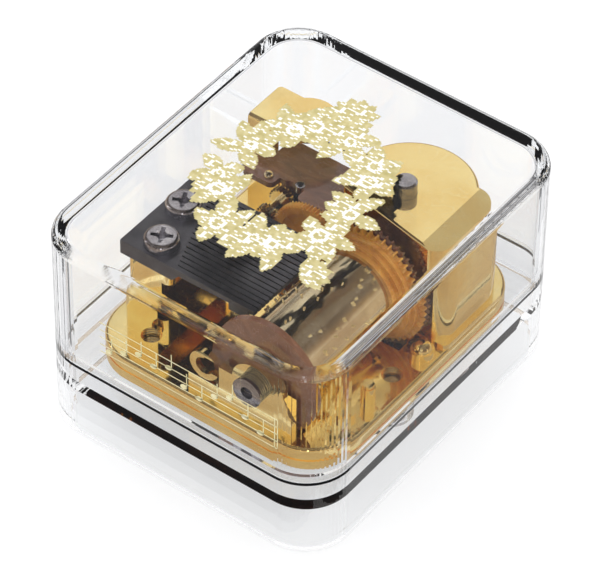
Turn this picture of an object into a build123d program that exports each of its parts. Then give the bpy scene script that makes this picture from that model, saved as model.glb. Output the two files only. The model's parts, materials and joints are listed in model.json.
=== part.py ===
from build123d import *
import math
import os

# Clear-cased wind-up music box, millimetres. X runs along the comb teeth,
# Y along the note cylinder, Z up. The origin is under the middle of the case.

# ---- case ----
CASE_X = 52.0
CASE_Y = 62.0
CASE_H = 36.5
CASE_CORNER = 7.8
WALL = 2.0
SEAM_Z = 14.0
LID_EDGE_FILLET = 1.4
LIP_H = 1.2
LIP_T = 0.9
LIP_GAP = 0.10
FLOOR_TOP = 10.0
FLOOR_BOTTOM = 8.0
BOSS_BOTTOM = 5.6
MOUNT_SPOTS = [(-13.4, -17.9), (18.2, -4.0), (-15.0, 19.0)]

# ---- bed plate ----
PLATE_LEFT = -21.2
PLATE_RIGHT = 21.8
PLATE_FRONT = -24.3
PLATE_BACK = 25.2
PLATE_CORNER = 8.0
PLATE_TOP = 14.0
PLATE_BOTTOM = FLOOR_TOP
TAPPED_R = 1.6
THREAD_PITCH = 0.45
THREAD_DEPTH = 0.2
BEARING_WALL_Y = (-23.1, -21.9)

# ---- note cylinder, axis along Y ----
CYL_X = 9.5
CYL_Z = 21.7
CYL_R = 6.3
CYL_WALL = 0.7
CYL_FRONT = -20.2
CYL_BACK = 0.0
PIN_R = 0.2
PIN_H = 0.45
NOTES = 18
NOTE_PITCH = 0.95
FIRST_NOTE_Y = -16.7
ARBOR_R = 1.0
SLIDE_FIT = 0.05

# ---- gear train ----
RIDGE_TEETH = 48
RIDGE_PITCH_R = 9.1
RIDGE_Y = (2.3, 3.3)
DRIVE_TEETH = 52
DRIVE_PITCH_R = 9.3
DRIVE_Y = (3.5, 4.1)
CROWN_TEETH = 47
CROWN_PITCH_R = DRIVE_PITCH_R * CROWN_TEETH / DRIVE_TEETH
PINION_TEETH = 16
PINION_PITCH_R = RIDGE_PITCH_R * PINION_TEETH / RIDGE_TEETH
FIRST_Z = 19.2
FIRST_X = CYL_X - math.sqrt((RIDGE_PITCH_R + PINION_PITCH_R) ** 2 - (CYL_Z - FIRST_Z) ** 2)
FIRST_TEETH = 70
FINE_MODULE = 0.2
FIRST_WHEEL_R = FIRST_TEETH * FINE_MODULE / 2
FIRST_WHEEL_Y = (5.3, 6.5)
SECOND_TEETH = 16
SECOND_PINION_R = SECOND_TEETH * FINE_MODULE / 2
WORM_WHEEL_TEETH = 22
WORM_WHEEL_R = WORM_WHEEL_TEETH * FINE_MODULE / 2
WORM_WHEEL_Y = (9.2, 10.4)
WORM_STARTS = 2
WORM_R = 0.9
WORM_LEAD = WORM_STARTS * math.pi * FINE_MODULE
WORM_X = -7.8
WORM_Y = 9.8
SECOND_X = WORM_X - WORM_R - WORM_WHEEL_R
SECOND_Z = FIRST_Z + math.sqrt((FIRST_WHEEL_R + SECOND_PINION_R) ** 2 - (FIRST_X - SECOND_X) ** 2)

# ---- governor cover ----
COVER_BOTTOM = 24.1
COVER_TOP = 25.1
RIVET_SPOT = (-12.9, 8.7)

# ---- spring motor, axis along Z ----
MOTOR_X = CYL_X
MOTOR_Y = DRIVE_Y[0] + (DRIVE_Y[1] - DRIVE_Y[0]) / 2 + CROWN_PITCH_R
MOTOR_ARBOR_R = 1.8
CAN_CENTRE = (9.6, 13.7)
CAN_R = 9.9
CAN_RIGHT = 21.2
CAN_TOP = 31.9
CAN_WALL = 0.6
LOBE_X = 17.8
LOBE_SLOPE = 11.0

# ---- comb ----
COMB_TOP = 27.0
COMB_THICK = 2.6
COMB_LEFT = -20.5
COMB_TIP_X = 4.2
COMB_SCREWS = [(-17.3, -6.2), (-15.2, -14.0)]


def box(x0, x1, y0, y1, z0, z1):
    """A block given by its six limits."""
    middle = Pos((x0 + x1) / 2, (y0 + y1) / 2, (z0 + z1) / 2)
    return middle * Box(x1 - x0, y1 - y0, z1 - z0)


def rod(radius, x, y, z0, z1):
    """An upright cylinder."""
    return Pos(x, y, (z0 + z1) / 2) * Cylinder(radius, z1 - z0)


def rod_y(radius, x, z, y0, y1):
    """A cylinder lying along Y."""
    return Pos(x, (y0 + y1) / 2, z) * Rot(90, 0, 0) * Cylinder(radius, y1 - y0)


def rounded_slab(x0, x1, y0, y1, z0, z1, corner):
    outline = RectangleRounded(x1 - x0, y1 - y0, corner)
    return Pos((x0 + x1) / 2, (y0 + y1) / 2, z0) * extrude(outline, z1 - z0)


def gear_face(teeth, pitch_r, addendum, dedendum, phase=0.0, share=0.4):
    """Flat-flanked gear outline; share is the tooth's part of the pitch circle."""
    step = 2 * math.pi / teeth
    root_half = step * (share * 0.5 + 0.09)
    tip_half = step * (share * 0.5 - 0.11)
    points = []
    for tooth in range(teeth):
        middle = phase + tooth * step
        for radius, offset in (
            (pitch_r - dedendum, -root_half),
            (pitch_r + addendum, -tip_half),
            (pitch_r + addendum, tip_half),
            (pitch_r - dedendum, root_half),
        ):
            angle = middle + offset
            points.append((radius * math.cos(angle), radius * math.sin(angle)))
    return make_face(Polyline(*points, close=True))


def along_y(shape, x, z, y0):
    """Turn a shape built on +Z so that it runs along +Y from y0."""
    return Pos(x, y0, z) * Rot(-90, 0, 0) * shape


def gear_along_y(face, x, z, y0, y1):
    return along_y(extrude(face, y1 - y0), x, z, y0)


def heading(x0, z0, x1, z1):
    """Angle of a direction in the XZ plane, in the frame used by along_y."""
    return math.atan2(-(z1 - z0), x1 - x0)


# ---------------------------------------------------------------- case

def case_base():
    skirt = rounded_slab(-CASE_X / 2, CASE_X / 2, -CASE_Y / 2, CASE_Y / 2, 0, SEAM_Z, CASE_CORNER)
    skirt = fillet(skirt.faces().sort_by(Axis.Z)[0].edges(), 0.5)
    inner_x = CASE_X / 2 - WALL
    inner_y = CASE_Y / 2 - WALL
    tray = rounded_slab(-inner_x, inner_x, -inner_y, inner_y, FLOOR_TOP, SEAM_Z + 1, CASE_CORNER - WALL)
    recess = rounded_slab(-inner_x, inner_x, -inner_y, inner_y, -1, FLOOR_BOTTOM, CASE_CORNER - WALL)
    lip_x = inner_x + LIP_T
    lip_y = inner_y + LIP_T
    lip = rounded_slab(-lip_x, lip_x, -lip_y, lip_y, SEAM_Z, SEAM_Z + LIP_H, CASE_CORNER - WALL + LIP_T)
    lip -= rounded_slab(-inner_x, inner_x, -inner_y, inner_y, SEAM_Z - 1, SEAM_Z + 2, CASE_CORNER - WALL)
    body = skirt - tray - recess + lip
    for x, y in MOUNT_SPOTS:
        body += rod(3.4, x, y, BOSS_BOTTOM, FLOOR_BOTTOM + 0.2)
    for x, y in MOUNT_SPOTS:
        body -= rod(1.6, x, y, BOSS_BOTTOM - 1, FLOOR_TOP + 1)
        body -= rod(2.5, x, y, BOSS_BOTTOM - 1, BOSS_BOTTOM + 1.4)
    body -= rod(4.2, MOTOR_X, MOTOR_Y, FLOOR_BOTTOM - 1, FLOOR_TOP + 1)
    return body


def case_lid():
    outer = rounded_slab(-CASE_X / 2, CASE_X / 2, -CASE_Y / 2, CASE_Y / 2, SEAM_Z, CASE_H, CASE_CORNER)
    outer = fillet(outer.faces().sort_by(Axis.Z)[-1].edges(), LID_EDGE_FILLET)
    inner_x = CASE_X / 2 - WALL
    inner_y = CASE_Y / 2 - WALL
    hollow = rounded_slab(-inner_x, inner_x, -inner_y, inner_y, SEAM_Z - 1, CASE_H - WALL, CASE_CORNER - WALL)
    hollow = fillet(hollow.faces().sort_by(Axis.Z)[-1].edges(), 0.8)
    step = LIP_T + LIP_GAP
    rebate = rounded_slab(
        -inner_x - step, inner_x + step, -inner_y - step, inner_y + step,
        SEAM_Z - 1, SEAM_Z + LIP_H + LIP_GAP, CASE_CORNER - WALL + step,
    )
    return outer - hollow - rebate


def base_screws():
    screws = []
    for x, y in MOUNT_SPOTS:
        head = rod(2.2, x, y, BOSS_BOTTOM, BOSS_BOTTOM + 1.4)
        shank = rod(1.3, x, y, BOSS_BOTTOM + 1.4, 12.4)
        slots = box(x - 1.2, x + 1.2, y - 0.25, y + 0.25, BOSS_BOTTOM - 1, BOSS_BOTTOM + 0.7)
        slots += box(x - 0.25, x + 0.25, y - 1.2, y + 1.2, BOSS_BOTTOM - 1, BOSS_BOTTOM + 0.7)
        screws.append(head + shank - slots)
    return Compound(children=screws)


# ---------------------------------------------------------------- bed plate

def bed_plate():
    plate = rounded_slab(PLATE_LEFT, PLATE_RIGHT, PLATE_FRONT, PLATE_BACK, PLATE_BOTTOM, PLATE_TOP, PLATE_CORNER)
    plate = fillet(plate.faces().sort_by(Axis.Z)[-1].edges(), 0.5)
    groove = rounded_slab(-40, 40, -40, 40, 11.6, 11.95, 5)
    groove -= rounded_slab(
        PLATE_LEFT + 0.3, PLATE_RIGHT - 0.3, PLATE_FRONT + 0.3, PLATE_BACK - 0.3, 11, 13, PLATE_CORNER - 0.3
    )
    plate -= groove
    # comb pedestal, cut away under the teeth
    pedestal = rounded_slab(-19.8, -11.6, -16.6, -1.2, PLATE_TOP - 0.1, COMB_TOP - COMB_THICK, 1.2)
    pedestal -= box(-18.4, -14.2, -12.4, -9.0, PLATE_TOP, 22.6)
    pedestal -= box(-13.3, -10.0, -20, 0, 16.5, 22.0)
    plate += pedestal
    # front wall that carries the hollow bearing screw
    wall = box(3.2, 15.4, *BEARING_WALL_Y, PLATE_TOP - 0.1, CYL_Z)
    wall += rod_y(3.9, CYL_X, CYL_Z, *BEARING_WALL_Y)
    slope = Polyline((13.0, 24.0), (15.6, 24.0), (15.6, 16.5), close=True)
    wall -= Pos(0, -22, 0) * Rot(90, 0, 0) * extrude(make_face(slope), 3)
    wall += box(-2.4, 3.4, *BEARING_WALL_Y, PLATE_TOP - 0.1, 17.4)
    plate += wall
    # rear bearing post
    plate += box(CYL_X - 1.8, CYL_X + 1.8, 4.7, 5.6, PLATE_TOP - 0.3, CYL_Z)
    plate += rod_y(1.8, CYL_X, CYL_Z, 4.7, 5.6)
    # small bosses and posts cast on the right-hand side
    plate += rod(1.1, 18.5, -10.4, PLATE_TOP - 0.1, 17.0)
    plate += rod(0.8, 18.5, -10.4, 16.9, 18.9)
    plate += rod(0.95, 18.3, -14.6, PLATE_TOP - 0.1, 15.0)
    plate += rod(1.8, 19.4, 1.9, PLATE_TOP - 0.1, 15.4)
    plate += Pos(19.4, 1.9, 15.3) * (Sphere(1.5) - box(-2, 2, -2, 2, -2, 0))
    # openings
    plate -= rod(9.4, MOTOR_X, MOTOR_Y, PLATE_BOTTOM - 1, 13.1)
    plate -= rod(MOTOR_ARBOR_R + SLIDE_FIT, MOTOR_X, MOTOR_Y, 12, 15)
    plate -= box(CYL_X - 6.6, CYL_X + 6.6, RIDGE_Y[0] - 1.7, DRIVE_Y[1] + 0.35, 11.6, 14.5)
    plate -= box(CYL_X - 6.2, CYL_X + 6.2, CYL_FRONT - 1.5, CYL_FRONT + 0.4, 12.2, 14.5)
    plate -= box(FIRST_X - 5.7, FIRST_X + 5.5, FIRST_WHEEL_Y[0] - 0.4, FIRST_WHEEL_Y[1] + 0.4, 11.6, 14.5)
    plate -= rod_y(2.05, CYL_X, CYL_Z, -25, -21)
    plate -= rod_y(ARBOR_R + SLIDE_FIT, CYL_X, CYL_Z, 4, 6)
    plate -= rod(0.45, WORM_X, WORM_Y, 12.8, 15)
    plate -= rod(0.9, 18.5, -10.4, 17.2, 20)
    plate += rod(0.9, 18.5, -10.4, 17.1, 17.6)
    for x, y in MOUNT_SPOTS:
        plate -= rod(TAPPED_R, x, y, PLATE_BOTTOM - 1, 15)
        for turn in range(5):
            z = 12.7 - (turn - 2) * THREAD_PITCH
            plate -= rod(TAPPED_R + THREAD_DEPTH, x, y, z, z + THREAD_PITCH / 2)
    for x, y in COMB_SCREWS:
        plate -= rod(1.25, x, y, 18.6, 30)
    plate -= rod(1.0, -18.4, 17.4, 11.5, 15)
    return plate


# ---------------------------------------------------------------- comb

def comb_root_x(y):
    """X where the slits between the teeth begin; the bass teeth are longer."""
    return -16.4 - 0.36 * y


def comb():
    back = FIRST_NOTE_Y + (NOTES - 1) * NOTE_PITCH + NOTE_PITCH / 2
    front = FIRST_NOTE_Y - NOTE_PITCH / 2
    bottom = COMB_TOP - COMB_THICK
    outline = [
        (COMB_LEFT, bottom),
        (-11.0, bottom),
        (-9.6, COMB_TOP - 1.1),
        (COMB_TIP_X, COMB_TOP - 0.75),
        (COMB_TIP_X, COMB_TOP),
        (COMB_LEFT, COMB_TOP),
    ]
    profile = make_face(Polyline(*outline, close=True))
    body = Pos(0, back, 0) * Rot(90, 0, 0) * extrude(profile, back - front)
    slit = 0.24
    for gap in range(NOTES - 1):
        y = FIRST_NOTE_Y + (gap + 0.5) * NOTE_PITCH
        body -= box(comb_root_x(y), COMB_TIP_X + 1, y - slit / 2, y + slit / 2, 20, 30)
    for x, y in COMB_SCREWS:
        body -= rod(1.55, x, y, 20, 30)
    return body


def comb_screws():
    screws = []
    for x, y in COMB_SCREWS:
        head = rod(2.75, x, y, COMB_TOP, COMB_TOP + 1.6)
        head = fillet(head.faces().sort_by(Axis.Z)[-1].edges(), 0.7)
        shank = rod(1.2, x, y, 19.2, COMB_TOP)
        cross = box(-1.7, 1.7, -0.35, 0.35, 0.4, 3) + box(-0.35, 0.35, -1.7, 1.7, 0.4, 3)
        cross += Pos(0, 0, 1.0) * Cone(0.2, 0.9, 1.4)
        screws.append(head + shank - Pos(x, y, COMB_TOP) * Rot(0, 0, 28) * cross)
    return Compound(children=screws)


def comb_weights():
    """Lead weights soldered under the longer, lower teeth."""
    weights = []
    for note in range(8):
        y = FIRST_NOTE_Y + note * NOTE_PITCH
        length = 3.4 - 0.28 * note
        x1 = COMB_TIP_X - 1.4
        top = COMB_TOP - 0.88
        weights.append(box(x1 - length, x1, y - 0.3, y + 0.3, top - 1.5 + 0.1 * note, top - 0.02))
    return Compound(children=weights)


# ---------------------------------------------------------------- note cylinder

def note_angles(note):
    """Turns at which a note has a pin; a fixed arithmetic pattern."""
    count = 4 + (note * 7) % 5
    return [((note * 37 + k * (97 + 11 * (note % 3))) % 360) for k in range(count)]


def cylinder_tube():
    tube = rod_y(CYL_R, CYL_X, CYL_Z, CYL_FRONT, CYL_BACK)
    tube -= rod_y(CYL_R - CYL_WALL, CYL_X, CYL_Z, CYL_FRONT - 1, CYL_BACK + 1)
    bumps = []
    for note in range(NOTES):
        y = FIRST_NOTE_Y + note * NOTE_PITCH
        for angle in note_angles(note):
            bump = Pos(0, 0, CYL_R + PIN_H / 2 - 0.1) * Cylinder(PIN_R, PIN_H + 0.2)
            bumps.append(Pos(CYL_X, y, CYL_Z) * Rot(0, angle, 0) * bump)
    return tube + bumps


def cylinder_gear():
    """Moulded end gear: spigot in the tube, stepped rings and the ridge of coarse teeth."""
    face = gear_face(RIDGE_TEETH, RIDGE_PITCH_R, 0.36, 0.40, heading(CYL_X, CYL_Z, FIRST_X, FIRST_Z), 0.4)
    gear = gear_along_y(face, CYL_X, CYL_Z, *RIDGE_Y)
    gear += rod_y(7.0, CYL_X, CYL_Z, 0.0, 1.0)
    gear += rod_y(7.8, CYL_X, CYL_Z, 0.9, 1.7)
    gear += rod_y(8.5, CYL_X, CYL_Z, 1.6, RIDGE_Y[0] + 0.1)
    gear += rod_y(CYL_R - CYL_WALL, CYL_X, CYL_Z, -1.6, 0.1)
    gear += rod_y(3.0, CYL_X, CYL_Z, RIDGE_Y[0], DRIVE_Y[0])
    gear -= rod_y(ARBOR_R, CYL_X, CYL_Z, -3, 6)
    return gear


def cylinder_drive_gear():
    """Dark rear gear of the cylinder, meshing with the crown gear under the spring."""
    tooth_step = 2 * math.pi / DRIVE_TEETH
    face = gear_face(DRIVE_TEETH, DRIVE_PITCH_R, 0.24, 0.36, math.pi / 2 + tooth_step / 2, 0.38)
    gear = gear_along_y(face, CYL_X, CYL_Z, *DRIVE_Y)
    return gear - rod_y(ARBOR_R, CYL_X, CYL_Z, 3, 6)


def cylinder_end_cap():
    cap = rod_y(8.9, CYL_X, CYL_Z, CYL_FRONT - 1.1, CYL_FRONT)
    cap += rod_y(CYL_R - CYL_WALL, CYL_X, CYL_Z, CYL_FRONT - 0.1, CYL_FRONT + 1.4)
    cap += rod_y(2.6, CYL_X, CYL_Z, CYL_FRONT - 1.3, CYL_FRONT)
    return cap - rod_y(ARBOR_R, CYL_X, CYL_Z, -24, -17)


def cylinder_arbor():
    return rod_y(ARBOR_R, CYL_X, CYL_Z, -23.2, 5.6)


def bearing_screw():
    """Hollow threaded bearing for the front end of the arbor."""
    y0 = -24.8
    y1 = -21.8
    screw = rod_y(2.0, CYL_X, CYL_Z, y0, y1)
    thread_step = 0.34
    for turn in range(4):
        y = y0 + thread_step * (turn + 1)
        screw += rod_y(2.4, CYL_X, CYL_Z, y, y + thread_step / 2)
    screw += rod_y(2.5, CYL_X, CYL_Z, y0, y0 + 0.2)
    return screw - rod_y(ARBOR_R + SLIDE_FIT, CYL_X, CYL_Z, -26, -20)


def bearing_clip():
    """C-shaped cast hook beside the front bearing."""
    ring = rod_y(2.6, 0.4, 20.2, -23.0, -22.0) - rod_y(1.5, 0.4, 20.2, -24, -21)
    ring -= box(0.4, 4, -24, -21, 19.4, 22.0)
    return ring - box(-4, 4, -24, -21, 16, 17.4)


# ---------------------------------------------------------------- spring motor

def can_outline(offset):
    """D-shaped plan of the spring housing, with its flat towards the gear."""
    plan = Pos(*CAN_CENTRE) * Circle(CAN_R + offset)
    right = CAN_RIGHT + offset
    plan += Pos((9.6 + right) / 2, 12.0) * RectangleRounded(right - 9.6, 15.6 + 2 * offset, 3.4)
    front_line = [(-6.0, 9.3 - offset), (24.0, 3.54 - offset), (24.0, -8.0), (-6.0, -8.0)]
    return plan - make_face(Polyline(*front_line, close=True))


def spring_housing():
    shell = Pos(0, 0, PLATE_TOP) * extrude(can_outline(0), CAN_TOP - PLATE_TOP)
    shell = fillet(shell.faces().sort_by(Axis.Z)[-1].edges(), 0.45)
    # the lobe on the right slopes gently down
    shell -= Pos(LOBE_X, 13.7, CAN_TOP) * Rot(0, LOBE_SLOPE, 0) * Pos(5, 0, 1.5) * Box(10, 40, 3)
    hollow = Pos(0, 0, PLATE_TOP - 1) * extrude(can_outline(-CAN_WALL), CAN_TOP - PLATE_TOP + 1 - CAN_WALL)
    hollow -= box(LOBE_X - 0.3, 25, -5, 40, CAN_TOP - 1.5, CAN_TOP)
    shell -= hollow
    flange = extrude(can_outline(0.8), 0.9) - Pos(0, 0, -0.1) * extrude(can_outline(-CAN_WALL), 2)
    flange = flange & box(-5, 21.7, 4.6, 30, -1, 2)
    flange -= box(0, 12.6, 4, 6.4, -1, 2)
    shell += Pos(0, 0, PLATE_TOP) * flange
    shell -= rod(MOTOR_ARBOR_R + SLIDE_FIT, MOTOR_X, MOTOR_Y, 30, 33)
    return shell


def mainspring():
    """Coiled spring strip between the arbor and the housing wall."""
    turns = 8
    inner = 2.1
    outer = 4.7
    thick = 0.16
    steps = turns * 20
    near = []
    far = []
    for step in range(steps + 1):
        angle = 2 * math.pi * turns * step / steps
        radius = inner + (outer - inner) * step / steps
        near.append((radius * math.cos(angle), radius * math.sin(angle)))
        far.append(((radius + thick) * math.cos(angle), (radius + thick) * math.sin(angle)))
    strip = make_face(Polyline(*(near + far[::-1]), close=True))
    return Pos(MOTOR_X, MOTOR_Y, 16.4) * extrude(strip, 13.6)


def winding_arbor():
    arbor = rod(MOTOR_ARBOR_R, MOTOR_X, MOTOR_Y, 7.4, 34.3)
    arbor = chamfer(arbor.faces().sort_by(Axis.Z)[-1].edges(), 0.3)
    arbor += rod(1.4, MOTOR_X, MOTOR_Y, 2.6, 7.5)
    return arbor


def drive_gear():
    """Crown gear on the arbor; its teeth stand up into the cylinder's rear gear."""
    pitch_z = CYL_Z - DRIVE_PITCH_R
    root_z = pitch_z - 0.40
    tip_z = pitch_z + 0.22
    step = 2 * math.pi / CROWN_TEETH
    disc = rod(8.95, 0, 0, root_z - 0.9, root_z)
    tooth_r0 = 7.85
    tooth_r1 = 8.95
    tooth_mid = (tooth_r0 + tooth_r1) / 2
    teeth = []
    for tooth in range(CROWN_TEETH):
        angle = math.degrees(-math.pi / 2 + tooth * step)
        root_half = step * tooth_mid * 0.27
        tip_half = step * tooth_mid * 0.09
        section = Polyline(
            (-root_half, root_z - 0.05), (root_half, root_z - 0.05), (tip_half, tip_z), (-tip_half, tip_z), close=True
        )
        wedge = Rot(90, 0, 0) * extrude(make_face(section), tooth_r1 - tooth_r0)
        wedge = Pos(0, -tooth_r0, 0) * wedge
        teeth.append(Rot(0, 0, angle + 90) * wedge)
    gear = disc + teeth
    gear += rod(3.2, 0, 0, root_z - 1.1, root_z + 0.4)
    gear -= rod(MOTOR_ARBOR_R, 0, 0, 5, 20)
    return Pos(MOTOR_X, MOTOR_Y, 0) * gear


def clutch_spring():
    """Wrap spring that lets the arbor be wound without turning the gear back."""
    wire = 0.17
    coil = Helix(pitch=0.45, height=1.35, radius=MOTOR_ARBOR_R + wire + 0.02)
    profile = Plane(origin=coil @ 0, z_dir=coil % 0) * Circle(wire)
    return Pos(MOTOR_X, MOTOR_Y, 14.4) * sweep(profile, path=coil, is_frenet=True)


def winding_key():
    wing = Pos(0, 0, 3.3) * Rot(90, 0, 0) * extrude(SlotOverall(19.0, 5.0), 1.0, both=True)
    wing = fillet(wing.edges().filter_by(Axis.Y, reverse=True), 0.45)
    for side in (-1, 1):
        wing -= Pos(side * 6.2, 0, 3.3) * Rot(90, 0, 0) * Cylinder(1.3, 6)
    key = wing + rod(3.1, 0, 0, 0.9, 7.2)
    key -= rod(1.4, 0, 0, 2.6, 8)
    return Pos(MOTOR_X, MOTOR_Y, 0) * Rot(0, 0, 24) * key


# ---------------------------------------------------------------- governor

def governor_wheel():
    """First governor wheel: coarse pinion and fine-toothed disc moulded together."""
    towards = heading(FIRST_X, FIRST_Z, CYL_X, CYL_Z)
    pinion_face = gear_face(PINION_TEETH, PINION_PITCH_R, 0.34, 0.42, towards + math.pi / PINION_TEETH, 0.38)
    wheel_face = gear_face(FIRST_TEETH, FIRST_WHEEL_R, 0.17, 0.24, heading(FIRST_X, FIRST_Z, SECOND_X, SECOND_Z), 0.38)
    wheel = gear_along_y(pinion_face, FIRST_X, FIRST_Z, RIDGE_Y[0] - 0.05, RIDGE_Y[1] - 0.05)
    wheel += gear_along_y(wheel_face, FIRST_X, FIRST_Z, *FIRST_WHEEL_Y)
    wheel += rod_y(1.5, FIRST_X, FIRST_Z, RIDGE_Y[1] - 0.1, FIRST_WHEEL_Y[0] + 0.1)
    wheel -= rod_y(5.6, FIRST_X, FIRST_Z, 5.0, 5.55) - rod_y(2.2, FIRST_X, FIRST_Z, 4.9, 5.7)
    wheel -= rod_y(0.5, FIRST_X, FIRST_Z, 1, 8)
    return wheel


def governor_pin():
    return rod_y(0.5, FIRST_X, FIRST_Z, 1.0, 7.8)


def worm_wheel():
    """Second governor wheel: fine pinion in front, slanted worm teeth behind."""
    towards = heading(SECOND_X, SECOND_Z, FIRST_X, FIRST_Z)
    pinion_face = gear_face(SECOND_TEETH, SECOND_PINION_R, 0.16, 0.24, towards + math.pi / SECOND_TEETH, 0.36)
    wheel = gear_along_y(pinion_face, SECOND_X, SECOND_Z, *FIRST_WHEEL_Y)
    width = WORM_WHEEL_Y[1] - WORM_WHEEL_Y[0]
    slant = math.degrees(width * (WORM_LEAD / (2 * math.pi * WORM_R)) / WORM_WHEEL_R)
    worm_face = gear_face(WORM_WHEEL_TEETH, WORM_WHEEL_R, 0.13, 0.24, math.radians(-slant / 2), 0.36)
    slanted = Solid.extrude_linear_with_rotation(worm_face.face(), (0, 0, 0), (0, 0, width), slant)
    wheel += along_y(slanted, SECOND_X, SECOND_Z, WORM_WHEEL_Y[0])
    wheel += rod_y(1.0, SECOND_X, SECOND_Z, FIRST_WHEEL_Y[1] - 0.1, WORM_WHEEL_Y[0] + 0.1)
    wheel -= rod_y(0.4, SECOND_X, SECOND_Z, 4, 14)
    return wheel


def worm_wheel_pin():
    return rod_y(0.4, SECOND_X, SECOND_Z, 4.0, 11.9)


def worm():
    """Upright two-start worm with its pivots."""
    z0 = 18.9
    length = 4.2
    core = rod(0.4, 0, 0, 13.3, 25.5) + rod(0.66, 0, 0, z0 - 0.6, z0 + length + 0.3)
    helix = Helix(pitch=WORM_LEAD, height=length, radius=0.62)
    thread = None
    for start in range(WORM_STARTS):
        section = Polyline((0.0, -0.16), (0.42, -0.055), (0.42, 0.055), (0.0, 0.16), close=True)
        plane = Plane(origin=helix @ 0, x_dir=(1, 0, 0), z_dir=helix % 0)
        ridge = sweep(plane * make_face(section), path=helix, is_frenet=True)
        ridge = Rot(0, 0, start * 360 / WORM_STARTS) * ridge
        thread = ridge if thread is None else thread + ridge
    thread = Pos(0, 0, z0) * thread
    return Pos(WORM_X, WORM_Y, 0) * (core + thread)


def fan():
    """Four-winged air brake under the worm."""
    hub = rod(1.0, 0, 0, 14.9, 17.6)
    for wing in range(4):
        blade = box(0.6, 2.9, -0.2, 0.2, 15.0, 17.4)
        hub += Rot(0, 0, 90 * wing + 20) * blade
    hub -= rod(0.4, 0, 0, 14, 19)
    return Pos(WORM_X, WORM_Y, 0) * hub


def governor_frame():
    """Brown moulding that holds the governor pivots."""
    frame = box(-9.7, -1.7, 3.7, 16.8, PLATE_TOP, 14.5)
    frame += box(SECOND_X - 1.3, -9.0, 3.7, 5.1, PLATE_TOP, 14.5)
    frame -= box(FIRST_X - 5.7, FIRST_X + 5.5, FIRST_WHEEL_Y[0] - 0.4, FIRST_WHEEL_Y[1] + 0.4, 13, 15)
    for y0, y1 in ((1.2, 2.0), (7.0, 7.9)):
        frame += box(FIRST_X - 1.7, FIRST_X + 1.7, y0, y1, PLATE_TOP, FIRST_Z)
        frame += rod_y(1.7, FIRST_X, FIRST_Z, y0, y1)
    frame += box(FIRST_X - 1.7, FIRST_X + 1.7, 1.2, 4.6, PLATE_TOP, 14.5)
    frame += box(SECOND_X - 1.3, SECOND_X + 1.3, 4.0, 4.8, PLATE_TOP, SECOND_Z)
    frame += rod_y(1.3, SECOND_X, SECOND_Z, 4.0, 4.8)
    # rear post, the cover over the worm and the bearing that hangs from the cover
    frame += rounded_slab(-9.4, -3.0, 14.7, 16.8, PLATE_TOP, COVER_TOP, 0.9)
    frame += rounded_slab(-15.0, -0.8, 9.3, 17.4, COVER_BOTTOM, COVER_TOP, 1.2)
    frame += rounded_slab(-17.2, -11.3, 7.4, 12.9, COVER_BOTTOM, COVER_TOP, 1.0)
    frame += rounded_slab(-6.7, -0.8, 7.1, 12.0, COVER_BOTTOM, COVER_TOP, 1.0)
    frame -= rod(1.2, WORM_X - 1.4, WORM_Y - 1.2, COVER_BOTTOM - 0.1, COVER_TOP + 0.1)
    frame += box(SECOND_X - 1.3, SECOND_X + 1.3, 11.0, 12.0, SECOND_Z, COVER_BOTTOM + 0.1)
    frame += rod_y(1.3, SECOND_X, SECOND_Z, 11.0, 12.0)
    frame -= rod_y(0.5 + SLIDE_FIT, FIRST_X, FIRST_Z, 0, 9)
    frame -= rod_y(0.4 + SLIDE_FIT, SECOND_X, SECOND_Z, 3, 14)
    frame -= rod(0.75, WORM_X, WORM_Y, 23, 26)
    frame -= rod(0.45, WORM_X, WORM_Y, 12, 15)
    frame -= rod(0.6, *RIVET_SPOT, 22, 26)
    return frame


def worm_bushing():
    ring = rod(0.75, WORM_X, WORM_Y, COVER_BOTTOM, COVER_TOP + 0.2)
    return ring - rod(0.4 + SLIDE_FIT, WORM_X, WORM_Y, 23, 27)


def frame_rivet():
    rivet = rod(0.6, *RIVET_SPOT, COVER_BOTTOM, COVER_TOP)
    return rivet + Pos(*RIVET_SPOT, COVER_TOP) * (Sphere(0.8) - box(-2, 2, -2, 2, -2, 0))


def governor_bracket():
    """Bent cover plate over the governor corner."""
    bracket = box(-20.4, -15.2, 13.4, 14.2, PLATE_TOP, 30.0) + box(-20.4, -15.2, 13.4, 16.0, 29.2, 30.0)
    bend = bracket.edges().filter_by(Axis.X).filter_by(lambda e: e.center().Z > 29.9 and e.center().Y < 13.5)
    bracket = fillet(bend, 0.7)
    bracket += rounded_slab(-20.4, -12.6, 14.4, 21.4, 29.2, 30.0, 0.7)
    bracket += rod(4.7, -12.6, 18.0, 29.2, 30.0)
    bracket += rounded_slab(-20.4, -15.2, 13.4, 21.4, PLATE_TOP, 14.8, 0.7)
    return bracket - rod(1.1, -18.4, 17.4, 13, 16)


def bracket_screw():
    head = rod(1.9, -18.4, 17.4, 14.8, 16.0)
    head = fillet(head.faces().sort_by(Axis.Z)[-1].edges(), 0.4)
    cross = box(-1.1, 1.1, -0.22, 0.22, 0, 2) + box(-0.22, 0.22, -1.1, 1.1, 0, 2)
    return head + rod(0.95, -18.4, 17.4, 11.9, 14.9) - Pos(-18.4, 17.4, 15.4) * cross


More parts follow.
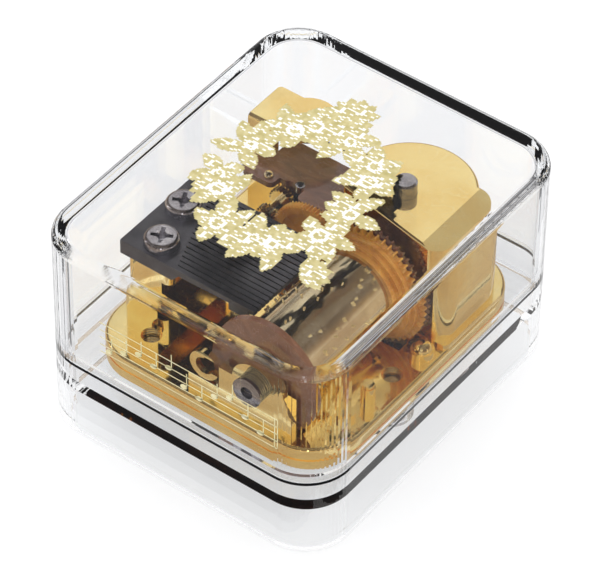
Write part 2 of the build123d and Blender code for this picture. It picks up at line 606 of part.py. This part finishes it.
PARTS = {
    "case_base": case_base,
    "case_lid": case_lid,
    "base_screws": base_screws,
    "bed_plate": bed_plate,
    "comb": comb,
    "comb_screws": comb_screws,
    "comb_weights": comb_weights,
    "cylinder_tube": cylinder_tube,
    "cylinder_gear": cylinder_gear,
    "cylinder_drive_gear": cylinder_drive_gear,
    "cylinder_end_cap": cylinder_end_cap,
    "cylinder_arbor": cylinder_arbor,
    "bearing_screw": bearing_screw,
    "bearing_clip": bearing_clip,
    "spring_housing": spring_housing,
    "mainspring": mainspring,
    "winding_arbor": winding_arbor,
    "drive_gear": drive_gear,
    "clutch_spring": clutch_spring,
    "winding_key": winding_key,
    "governor_wheel": governor_wheel,
    "governor_pin": governor_pin,
    "worm_wheel": worm_wheel,
    "worm_wheel_pin": worm_wheel_pin,
    "worm": worm,
    "fan": fan,
    "governor_frame": governor_frame,
    "worm_bushing": worm_bushing,
    "frame_rivet": frame_rivet,
    "governor_bracket": governor_bracket,
    "bracket_screw": bracket_screw,
}

os.makedirs("parts", exist_ok=True)
for name, make in PARTS.items():
    shape = make()
    export_step(shape, f"parts/{name}.step")
    solids = shape.solids()
    print(name, len(solids), round(sum(s.volume for s in solids), 1))
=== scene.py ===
import bpy
import bmesh
import json
import math
from mathutils import Matrix, Vector


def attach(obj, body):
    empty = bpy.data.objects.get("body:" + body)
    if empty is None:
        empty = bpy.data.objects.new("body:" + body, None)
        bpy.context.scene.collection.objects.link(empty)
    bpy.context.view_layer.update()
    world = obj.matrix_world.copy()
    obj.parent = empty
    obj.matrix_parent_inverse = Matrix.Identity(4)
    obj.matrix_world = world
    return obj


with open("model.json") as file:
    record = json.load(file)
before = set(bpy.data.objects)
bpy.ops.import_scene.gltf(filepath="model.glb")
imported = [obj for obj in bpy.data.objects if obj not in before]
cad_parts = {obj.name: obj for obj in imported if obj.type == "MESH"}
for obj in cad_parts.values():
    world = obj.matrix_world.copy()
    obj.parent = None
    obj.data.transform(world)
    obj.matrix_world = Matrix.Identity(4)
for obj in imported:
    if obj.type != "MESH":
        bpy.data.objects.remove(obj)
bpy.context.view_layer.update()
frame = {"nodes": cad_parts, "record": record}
mm = 0.001
print("frame loaded", len(frame["nodes"]))


class Wire:  # a node socket that takes part in ordinary sums
    def __init__(self, graph, socket):
        self.graph = graph
        self.socket = socket

    def sum(self, operation, first, second=None):
        return self.graph.node("ShaderNodeMath", {"operation": operation}, [first, second])

    def __add__(self, other):
        return self.sum("ADD", self, other)

    __radd__ = __add__

    def __sub__(self, other):
        return self.sum("SUBTRACT", self, other)

    def __rsub__(self, other):
        return self.sum("SUBTRACT", other, self)

    def __mul__(self, other):
        return self.sum("MULTIPLY", self, other)

    __rmul__ = __mul__

    def __gt__(self, other):
        return self.sum("GREATER_THAN", self, other)

    def __lt__(self, other):
        return self.sum("LESS_THAN", self, other)

    def clamp(self, low, high, newLow=0.0, newHigh=1.0):
        return self.graph.node("ShaderNodeMapRange", {"clamp": True}, [self, low, high, newLow, newHigh])


class Graph:  # the nodes of one material, or of the world
    def __init__(self, name, world=False):
        self.owner = (bpy.data.worlds if world else bpy.data.materials).new(name)
        self.owner.use_nodes = True
        self.tree = self.owner.node_tree
        self.tree.nodes.clear()
        self.output = self.tree.nodes.new("ShaderNodeOutputWorld" if world else "ShaderNodeOutputMaterial")
        self.place = self.node("ShaderNodeTexCoord", {}, [], "Generated" if world else "Object")

    def node(self, kind, settings, inputs, output=0):
        made = self.tree.nodes.new(kind)
        for key, value in settings.items():
            if key == "stops":
                ramp = made.color_ramp.elements
                while len(ramp) < len(value):
                    ramp.new(0.5)
                for element, (position, colour) in zip(ramp, value):
                    element.position = position
                    element.color = (*colour, 1.0)
            else:
                setattr(made, key, value)
        pairs = inputs.items() if isinstance(inputs, dict) else enumerate(inputs)
        for key, value in pairs:
            if value is None:
                continue
            if isinstance(value, Wire):
                self.tree.links.new(value.socket, made.inputs[key])
            else:
                made.inputs[key].default_value = value
        return Wire(self, made.outputs[output])

    def stretch(self, scale):
        return self.node("ShaderNodeMapping", {}, {"Vector": self.place, "Scale": scale})

    def noise(self, scale, detail=3.0, vector=None, distortion=0.0):
        return self.node("ShaderNodeTexNoise", {}, {
            "Vector": vector or self.place, "Scale": scale, "Detail": detail, "Distortion": distortion,
        })

    def scratches(self, scale, width, vector=None):  # 1 on a thin wandering line, 0 off it
        wander = self.noise(scale, 2.0, vector, 1.5)
        away = self.node("ShaderNodeMath", {"operation": "ABSOLUTE"}, [wander - 0.5])
        return away.clamp(0.0, width, 1.0, 0.0)

    def ramp(self, factor, stops):
        return self.node("ShaderNodeValToRGB", {"stops": stops}, [factor])

    def blend(self, factor, first, second):
        made = self.tree.nodes.new("ShaderNodeMix")
        made.data_type = "RGBA"
        for key, value in ((0, factor), (6, first), (7, second)):
            if isinstance(value, Wire):
                self.tree.links.new(value.socket, made.inputs[key])
            elif key == 0:
                made.inputs[key].default_value = value
            else:
                made.inputs[key].default_value = (*value, 1.0)
        return Wire(self, made.outputs[2])

    def bump(self, height, strength, distance, normal=None):
        return self.node("ShaderNodeBump", {}, {
            "Height": height, "Strength": strength, "Distance": distance, "Normal": normal,
        })

    def surface(self, constants, linked):
        return self.node("ShaderNodeBsdfPrincipled", {}, {**constants, **linked})

    def finish(self, shader):
        self.tree.links.new(shader.socket, self.output.inputs["Surface"])
        return self.owner


def polishedMetal(name, look):
    g = Graph(name)
    cloud = g.noise(look["cloud"], 4.0)
    fine = g.noise(2600.0, 2.0)
    lines = g.scratches(look["scratchScale"], 0.012, g.stretch(look["grain"]))
    colour = g.ramp(cloud, [(0.32, look["deep"]), (0.62, look["base"]), (0.85, look["pale"])])
    colour = g.blend(lines * 0.35, colour, look["pale"])
    rough = look["rough"] + cloud * look["roughSpread"] + lines * 0.16 + fine * 0.02
    height = fine * 0.15 + lines * -0.6 + g.noise(look["orange"], 2.0) * look["waviness"]
    return g.finish(g.surface({"Metallic": 1.0, "Specular IOR Level": 0.5}, {
        "Base Color": colour, "Roughness": rough, "Normal": g.bump(height, look["bump"], 0.00004),
    }))


def mouldedPlastic(name, look):
    g = Graph(name)
    flow = g.noise(260.0, 4.0, g.stretch((1.0, 2.6, 1.0)), 0.8)
    speck = g.noise(3200.0, 2.0)
    lines = g.scratches(420.0, 0.01)
    colour = g.ramp(flow, [(0.3, look["deep"]), (0.55, look["base"]), (0.8, look["pale"])])
    colour = g.blend(lines * 0.2, colour, look["pale"])
    rough = look["rough"] + flow * 0.12 + lines * 0.2
    return g.finish(g.surface({
        "Subsurface Weight": look["glow"], "Subsurface Radius": (1.0, 0.50, 0.16), "Subsurface Scale": 0.0014,
        "Coat Roughness": 0.08, "IOR": 1.5,
    }, {
        "Base Color": colour, "Roughness": rough, "Coat Weight": 0.4,
        "Normal": g.bump(speck * 0.4 + flow * 0.8, 0.25, 0.00004),
    }))


def clearAcrylic(name, look):
    g = Graph(name)
    smear = g.noise(90.0, 4.0, g.stretch((1.0, 0.4, 1.0)), 0.6)
    lines = g.scratches(150.0, 0.004)
    rough = look["rough"] + smear.clamp(0.6, 0.8) * 0.012 + lines * 0.03
    flat = g.node("ShaderNodeNewGeometry", {}, [], "True Normal")  # smoothed normals darken the rounded rims
    glass = g.surface({"Transmission Weight": 1.0, "IOR": look["ior"], "Specular IOR Level": 0.5}, {
        "Base Color": g.blend(smear, look["tint"], look["clear"]), "Roughness": rough,
        "Normal": g.bump(smear + lines * -0.2, 0.03, 0.00002, flat),
    })
    shade = g.node("ShaderNodeLightPath", {}, [], "Is Shadow Ray")
    through = g.node("ShaderNodeBsdfTransparent", {}, {"Color": (*look["shadow"], 1.0)})
    return g.finish(g.node("ShaderNodeMixShader", {}, [shade, glass, through]))


def foilPrint(name, look):
    g = Graph(name)
    grain = g.noise(900.0, 3.0)
    patch = g.noise(2400.0, 1.0)
    colour = g.ramp(grain, [(0.3, look["deep"]), (0.55, look["base"]), (0.8, look["pale"])])
    return g.finish(g.surface({"Specular IOR Level": 0.6}, {
        "Base Color": colour, "Metallic": look["metal"], "Roughness": 0.38 + patch * 0.3,
        "Normal": g.bump(grain * 0.5 + patch * 0.5, 0.4, 0.00003),
    }))


goldLook = {
    "deep": (0.90, 0.64, 0.24), "base": (0.97, 0.77, 0.35), "pale": (1.0, 0.86, 0.48),
    "cloud": 110.0, "rough": 0.025, "roughSpread": 0.06, "scratchScale": 240.0, "grain": (1.0, 1.0, 1.0),
    "orange": 420.0, "waviness": 1.0, "bump": 0.10,
}
brassLook = {
    "deep": (0.62, 0.50, 0.31), "base": (0.80, 0.68, 0.45), "pale": (0.93, 0.84, 0.62),
    "cloud": 160.0, "rough": 0.05, "roughSpread": 0.09, "scratchScale": 300.0, "grain": (1.0, 9.0, 1.0),
    "orange": 500.0, "waviness": 0.5, "bump": 0.10,
}
chromeLook = {
    "deep": (0.26, 0.24, 0.26), "base": (0.42, 0.40, 0.42), "pale": (0.66, 0.64, 0.66),
    "cloud": 400.0, "rough": 0.06, "roughSpread": 0.10, "scratchScale": 500.0, "grain": (1.0, 1.0, 1.0),
    "orange": 700.0, "waviness": 0.8, "bump": 0.15,
}
combLook = {
    "deep": (0.085, 0.082, 0.092), "base": (0.125, 0.12, 0.132), "pale": (0.22, 0.21, 0.23),
    "cloud": 300.0, "rough": 0.27, "roughSpread": 0.14, "scratchScale": 260.0, "grain": (1.0, 14.0, 1.0),
    "orange": 900.0, "waviness": 0.5, "bump": 0.25,
}
springLook = dict(chromeLook, deep=(0.16, 0.17, 0.22), base=(0.30, 0.31, 0.36), rough=0.22)
blackLook = dict(combLook, deep=(0.02, 0.02, 0.024), base=(0.04, 0.04, 0.045), pale=(0.10, 0.10, 0.11))
blackLook["rough"] = 0.25
leadLook = dict(combLook, deep=(0.13, 0.13, 0.14), base=(0.20, 0.20, 0.21), pale=(0.3, 0.3, 0.31), rough=0.5)
amberLook = {
    "deep": (0.62, 0.25, 0.040), "base": (0.80, 0.37, 0.065), "pale": (0.93, 0.54, 0.14),
    "rough": 0.16, "glow": 0.30,
}
brownLook = {
    "deep": (0.15, 0.058, 0.028), "base": (0.23, 0.095, 0.045), "pale": (0.36, 0.17, 0.085),
    "rough": 0.16, "glow": 0.15,
}
acrylicLook = {
    "tint": (0.965, 0.975, 0.985), "clear": (0.99, 0.993, 0.998), "shadow": (0.93, 0.94, 0.95),
    "rough": 0.0, "ior": 1.49,
}
foilLook = {"deep": (0.50, 0.43, 0.17), "base": (0.62, 0.54, 0.26), "pale": (0.76, 0.69, 0.42), "metal": 0.15}
# near-white foil for the pale cells, which are partly print and partly painted highlights
paleFoilAndHighlightLook = {
    "deep": (0.86, 0.84, 0.74), "base": (0.94, 0.93, 0.86), "pale": (1.0, 0.99, 0.95), "metal": 0.05,
}
foilStaveLook = {
    "deep": (0.72, 0.62, 0.30), "base": (0.88, 0.79, 0.46), "pale": (0.97, 0.92, 0.68), "metal": 0.1,
}

materials = {
    "clear_acrylic": clearAcrylic("clear acrylic", acrylicLook),
    "gold_plated_zinc": polishedMetal("gold plating", goldLook),
    "comb_steel": polishedMetal("comb steel", combLook),
    "bright_steel": polishedMetal("bright steel", chromeLook),
    "spring_steel": polishedMetal("spring steel", springLook),
    "cylinder_brass": polishedMetal("cylinder brass", brassLook),
    "amber_plastic": mouldedPlastic("amber plastic", amberLook),
    "brown_plastic": mouldedPlastic("brown plastic", brownLook),
    "black_steel": polishedMetal("black steel", blackLook),
    "lead_alloy": polishedMetal("lead alloy", leadLook),
}
slotOf = {entry["node"]: entry["material_slot"] for entry in frame["record"]["subparts"]}
for name, obj in frame["nodes"].items():
    for slot in obj.material_slots:
        slot.material = materials[slotOf[name]]
print("materials set")


def meshObject(name, bm, material, body):
    mesh = bpy.data.meshes.new(name)
    bmesh.ops.recalc_face_normals(bm, faces=bm.faces)
    bm.to_mesh(mesh)
    bm.free()
    obj = bpy.data.objects.new(name, mesh)
    bpy.context.scene.collection.objects.link(obj)
    mesh.materials.append(material)
    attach(obj, body)


def thicken(bm, step):  # turns flat shapes into thin plates
    grown = bmesh.ops.extrude_face_region(bm, geom=bm.faces[:], use_keep_orig=True)["geom"]
    moved = [part for part in grown if isinstance(part, bmesh.types.BMVert)]
    bmesh.ops.translate(bm, verts=moved, vec=step)


foil = foilPrint("foil print", foilLook)
paleFoilAndHighlight = foilPrint("foil print pale and painted highlights", paleFoilAndHighlightLook)
foilStave = foilPrint("foil print stave", foilStaveLook)
wreath = {
    "middle": (-2.1, 0.2), "reach": (10.4, 13.2), "z": 36.5, "thick": 0.03, "cell": 0.28, "clumps": 13,
    "flower": 2.5, "petals": 5, "leaf": (2.5, 1.35), "leaves": 6,
    "sprays": [(-3.6, 15.4, 1.75), (-3.9, 17.6, 1.75), (10.4, -13.4, 0.7)],
    "sprayLeaves": 5, "sprayFan": 0.55,
}


def wreathShapes(wreath):  # flowers as (x, y, radius), leaves as (x, y, angle, half length, half width)
    flowers, leaves = [], []
    cx, cy = wreath["middle"]
    for k in range(wreath["clumps"]):
        turn = 2 * math.pi * k / wreath["clumps"] + 0.13 * math.sin(2.1 * k)
        sway = 1 + 0.05 * math.sin(3.7 * k)
        x = cx + wreath["reach"][0] * math.cos(turn) * sway
        y = cy + wreath["reach"][1] * math.sin(turn) * sway
        flowers.append((x, y, wreath["flower"] * (1 + 0.2 * math.sin(1.7 * k))))
        for leaf in range(wreath["leaves"]):
            angle = turn + 2 * math.pi * leaf / wreath["leaves"] + 0.4 * math.sin(2.9 * k + leaf)
            half = wreath["leaf"][0] * (1 + 0.25 * math.sin(5.3 * k + 1.3 * leaf))
            away = wreath["flower"] * 0.55 + half * 0.55
            place = (x + math.cos(angle) * away, y + math.sin(angle) * away)
            leaves.append((*place, angle + 0.5 * math.sin(4.1 * leaf + k), half, wreath["leaf"][1]))
    for x, y, heading in wreath["sprays"]:
        for leaf in range(wreath["sprayLeaves"]):
            angle = heading + wreath["sprayFan"] * (leaf - wreath["sprayLeaves"] // 2)
            stalk = 0.6 * wreath["leaf"][0]
            leaves.append((x + stalk * math.cos(angle), y + stalk * math.sin(angle), angle, *wreath["leaf"]))
    return flowers, leaves


def wreathCells(wreath):  # small square cells of the print: 1 for gold, 2 for pale cells inside it, which are printed flower centres and leaf veins and also scattered short marks that paint highlights
    cells = {}
    flowers, leaves = wreathShapes(wreath)
    step = wreath["cell"]

    def fill(x, y, reach, inside):
        for column in range(int((x - reach) / step) - 1, int((x + reach) / step) + 2):
            for row in range(int((y - reach) / step) - 1, int((y + reach) / step) + 2):
                mark = inside(column * step - x, row * step - y)
                if mark:
                    # scattered pale marks: partly printed leaf veins, partly painted highlights on the print
                    veinAndHighlightDash = ((column // 2) * 7 + row * 5 + (column // 2 * row) % 5) % 4 == 0
                    cells[(column, row)] = max(mark, 2 if veinAndHighlightDash else 1)

    def leafMark(angle, half, width):
        def inside(dx, dy):
            along = dx * math.cos(angle) + dy * math.sin(angle)
            across = abs(dy * math.cos(angle) - dx * math.sin(angle))
            room = width * (1 - (along / half) ** 2) - across
            return int(room >= 0)
        return inside

    def flowerMark(radius):
        def inside(dx, dy):
            spread = math.hypot(dx, dy)
            if spread > radius * (0.85 + 0.16 * math.cos(wreath["petals"] * math.atan2(dy, dx))):
                return 0
            return 2 if 0.28 < spread / radius < 0.48 else 1
        return inside

    for x, y, angle, half, width in leaves:
        fill(x, y, half, leafMark(angle, half, width))
    for x, y, radius in flowers:
        fill(x, y, radius * 1.1, flowerMark(radius))
    edge = [(1, 0), (-1, 0), (0, 1), (0, -1)]
    for place in [p for p in cells if any((p[0] + dx, p[1] + dy) not in cells for dx, dy in edge)]:
        cells[place] = 1
    return cells


def printedWreath(wreath):
    cells = wreathCells(wreath)
    step = wreath["cell"] * mm
    across = max(max(abs(column), abs(row)) for column, row in cells) + 1
    # the pale cells are printed flower centres and veins plus painted highlights
    for kind, material, name in ((1, foil, "wreath_gold"), (2, paleFoilAndHighlight, "wreath_pale_print_and_painted_highlights")):
        bm = bmesh.new()
        bmesh.ops.create_grid(
            bm, x_segments=2 * across + 1, y_segments=2 * across + 1, size=(across + 0.5) * step,
            matrix=Matrix.Translation((0, 0, wreath["z"] * mm)))
        empty = []
        for face in bm.faces:
            middle = face.calc_center_median()
            if cells.get((round(middle.x / step), round(middle.y / step))) != kind:
                empty.append(face)
        bmesh.ops.delete(bm, geom=empty, context="FACES")
        thicken(bm, (0, 0, wreath["thick"] * mm))
        meshObject(name, bm, material, "lid")


printedWreath(wreath)
print("wreath made")

stave = {
    "x0": -13.2, "x1": 19.0, "y": -31.0, "z": 20.4, "gap": 1.45, "line": 0.15, "thick": 0.03,
    "tune": [1, 3, 5, 4, 6, 3, 2, 5, 7, 4, 2], "first": 1.6, "spacing": 2.75,
    "head": (0.66, 0.46), "lean": 21.7, "stem": (0.46, 0.62, 2.9), "endBars": (0.0, 0.5),
}


def stavePrint(stave):  # five lines and a short made-up tune on the front wall
    bm = bmesh.new()
    upright = Matrix.Rotation(math.radians(90), 4, "X")

    def placed(x, z, lean, width, height):
        middle = Matrix.Translation((x * mm, stave["y"] * mm, z * mm))
        turned = Matrix.Rotation(math.radians(lean), 4, "Z")
        return middle @ upright @ turned @ Matrix.Diagonal((width * mm, height * mm, 1, 1))

    def bar(x0, x1, z0, z1):
        matrix = placed((x0 + x1) / 2, (z0 + z1) / 2, 0, x1 - x0, z1 - z0)
        bmesh.ops.create_grid(bm, x_segments=1, y_segments=1, size=0.5, matrix=matrix)

    top = stave["z"] + 4 * stave["gap"]
    for line in range(5):
        z = stave["z"] + line * stave["gap"]
        bar(stave["x0"], stave["x1"], z, z + stave["line"])
    left, right, height = stave["stem"]
    for k, step in enumerate(stave["tune"]):
        x = stave["x0"] + stave["first"] + k * stave["spacing"]
        z = stave["z"] + step * stave["gap"] / 2
        matrix = placed(x, z, stave["lean"], *stave["head"])
        bmesh.ops.create_circle(bm, cap_ends=True, segments=20, radius=1, matrix=matrix)
        bar(x + left, x + right, z, z + height)
    for back in stave["endBars"]:
        bar(stave["x1"] - back - stave["line"], stave["x1"] - back, stave["z"], top)
    thicken(bm, (0, -stave["thick"] * mm, 0))
    meshObject("stave_print", bm, foilStave, "lid")


stavePrint(stave)
print("prints made")


def mirrorsOf(g):  # whether a ray was mirrored once, and whether it has been inside the case
    depth = g.node("ShaderNodeLightPath", {}, [], "Glossy Depth")
    walls = g.node("ShaderNodeLightPath", {}, [], "Transmission Depth")
    return (depth > 0.5) * (depth < 1.5), walls > 2.5


floorLook = {
    "half": 3.0, "glow": 0.62, "caseX": 0.034, "caseY": -0.034,
    "pale": [(0.3, (0.40, 0.40, 0.40)), (0.7, (0.44, 0.44, 0.44))],
    "shine": [(0.3, (0.97, 0.97, 0.975)), (0.7, (1.0, 1.0, 1.0))],
    # colours of the painted warm reflection seen in the metal inside and of the painted dark reflection seen
    # in the walls beside the camera
    "paintedWarmReflectionPale": (0.30, 0.25, 0.20), "paintedWarmReflectionShine": (0.66, 0.54, 0.42),
    "shadePale": (0.08, 0.08, 0.085), "shadeShine": (0.12, 0.12, 0.125),
}


def plainFloor(look):  # glows softly as a light table; painted warm reflection where the metal inside mirrors it, painted dark reflection where the walls beside the camera mirror it
    bm = bmesh.new()
    bmesh.ops.create_grid(bm, x_segments=8, y_segments=8, size=look["half"])
    mesh = bpy.data.meshes.new("floor")
    bm.to_mesh(mesh)
    bm.free()
    floor = bpy.data.objects.new("floor", mesh)
    bpy.context.scene.collection.objects.link(floor)
    g = Graph("pale floor")
    tone = g.noise(3.0, 3.0)
    once, inside = mirrorsOf(g)
    x, y = (g.node("ShaderNodeSeparateXYZ", {}, [g.place], axis) for axis in ("X", "Y"))
    # painted dark reflection: only rays mirrored once by the walls beside the camera see the floor dark
    shade = ((x > look["caseX"]) + (y < look["caseY"])).clamp(0.0, 1.0) * once * (1 - inside)
    # painted warm reflection: rays mirrored by the parts inside see the floor warm brown in place of light
    # bounced between them
    paintedWarmReflection = once * inside
    pale = g.blend(paintedWarmReflection, g.ramp(tone, look["pale"]), look["paintedWarmReflectionPale"])
    shine = g.blend(paintedWarmReflection, g.ramp(tone, look["shine"]), look["paintedWarmReflectionShine"])
    mesh.materials.append(g.finish(g.surface({"Specular IOR Level": 0.1, "Emission Strength": look["glow"]}, {
        "Base Color": g.blend(shade, pale, look["shadePale"]),
        "Emission Color": g.blend(shade, shine, look["shadeShine"]), "Roughness": 0.8 + tone * 0.1,
    })))


def softLight(name, place, size, power, shows):
    lamp = bpy.data.lights.new(name, "AREA")
    lamp.shape = "RECTANGLE"
    lamp.size, lamp.size_y = size
    lamp.energy = power
    obj = bpy.data.objects.new(name, lamp)
    obj.location = place
    aim = Vector((0, 0, 0.015)) - Vector(place)  # towards the middle of the case
    obj.rotation_euler = aim.to_track_quat("-Z", "Y").to_euler()
    obj.visible_glossy = shows
    obj.visible_transmission = shows
    bpy.context.scene.collection.objects.link(obj)


def studioWorld(studio):  # a room seen through the case, one mirrored by its walls, one by the parts inside
    g = Graph("studio", world=True)
    once, inside = mirrorsOf(g)
    height = g.node("ShaderNodeSeparateXYZ", {}, [g.place], "Z")
    facing = g.node("ShaderNodeVectorMath", {"operation": "DOT_PRODUCT"}, [g.place, studio["window"]], "Value")
    window = facing.clamp(*studio["windowEdge"])
    inner = g.blend(window, g.ramp(height, studio["inner"]), studio["windowColour"])
    mirrored = g.blend(inside, g.ramp(height, studio["outer"]), inner)
    tone = g.blend(once, g.ramp(height, studio["open"]), mirrored)
    bpy.context.scene.world = g.finish(g.node("ShaderNodeBackground", {}, {"Color": tone}))


def setCamera(view):
    yaw, pitch, roll = (math.radians(view[key]) for key in ("yaw", "pitch", "roll"))
    back = Vector((math.sin(yaw) * math.cos(pitch), -math.cos(yaw) * math.cos(pitch), math.sin(pitch)))
    right = Vector((math.cos(yaw), math.sin(yaw), 0.0))
    up = back.cross(right)
    turnedRight = right * math.cos(roll) + up * math.sin(roll)
    turnedUp = up * math.cos(roll) - right * math.sin(roll)
    camera = bpy.data.cameras.new("camera")
    camera.lens = view["lens"]
    camera.sensor_width = 36.0
    camera.clip_start = 0.01
    camera.dof.use_dof = False
    obj = bpy.data.objects.new("camera", camera)
    place = (turnedRight * view["across"] + turnedUp * view["up"] + back * view["distance"]) * mm
    turn = Matrix((turnedRight, turnedUp, back)).transposed()
    obj.matrix_world = Matrix.Translation(place) @ turn.to_4x4()
    bpy.context.scene.collection.objects.link(obj)
    bpy.context.scene.camera = obj


studio = {
    "window": (-0.42, 0.57, 0.70), "windowEdge": (0.90, 0.99), "windowColour": (1.0, 0.98, 0.94),
    "open": [
        (0.0, (0.95, 0.95, 0.96)), (0.25, (0.74, 0.745, 0.76)),
        (0.6, (0.80, 0.80, 0.81)), (0.95, (0.86, 0.86, 0.87)),
    ],
    "outer": [
        (0.0, (0.90, 0.90, 0.91)), (0.30, (0.80, 0.80, 0.82)),
        (0.55, (0.50, 0.50, 0.52)), (0.72, (0.20, 0.20, 0.21)),
    ],
    "inner": [
        (0.0, (0.80, 0.70, 0.58)), (0.16, (0.40, 0.29, 0.20)),
        (0.40, (0.15, 0.105, 0.075)), (0.95, (0.16, 0.125, 0.10)),
    ],
}
lamps = [  # name, place, size, power, whether its own shape shows
    ("window", (-0.40, 0.54, 0.66), (0.62, 0.50), 2.5, False),
    ("left strip", (-0.75, -0.30, 0.30), (0.06, 0.60), 0.30, True),
    ("front strip", (0.42, -0.70, 0.30), (0.05, 0.60), 0.40, True),
    ("right strip", (0.80, 0.05, 0.25), (0.05, 0.50), 0.25, True),
    ("fill", (0.10, -0.10, 0.80), (0.8, 0.8), 2.4, False),
]
view = {
    "yaw": 36.42, "pitch": 44.38, "roll": 0.83, "lens": 248.3, "distance": 621.2, "across": -0.41, "up": 11.98,
}
lightBounces = 96  # light runs far along the thickness of the walls before it leaves them
plainFloor(floorLook)
studioWorld(studio)
for lamp in lamps:
    softLight(*lamp)
setCamera(view)
scene = bpy.context.scene
scene.view_settings.view_transform = "Standard"
for kind in ("max_bounces", "glossy_bounces", "transmission_bounces"):
    setattr(scene.cycles, kind, lightBounces)
scene.cycles.transparent_max_bounces = 20
print("stage set")
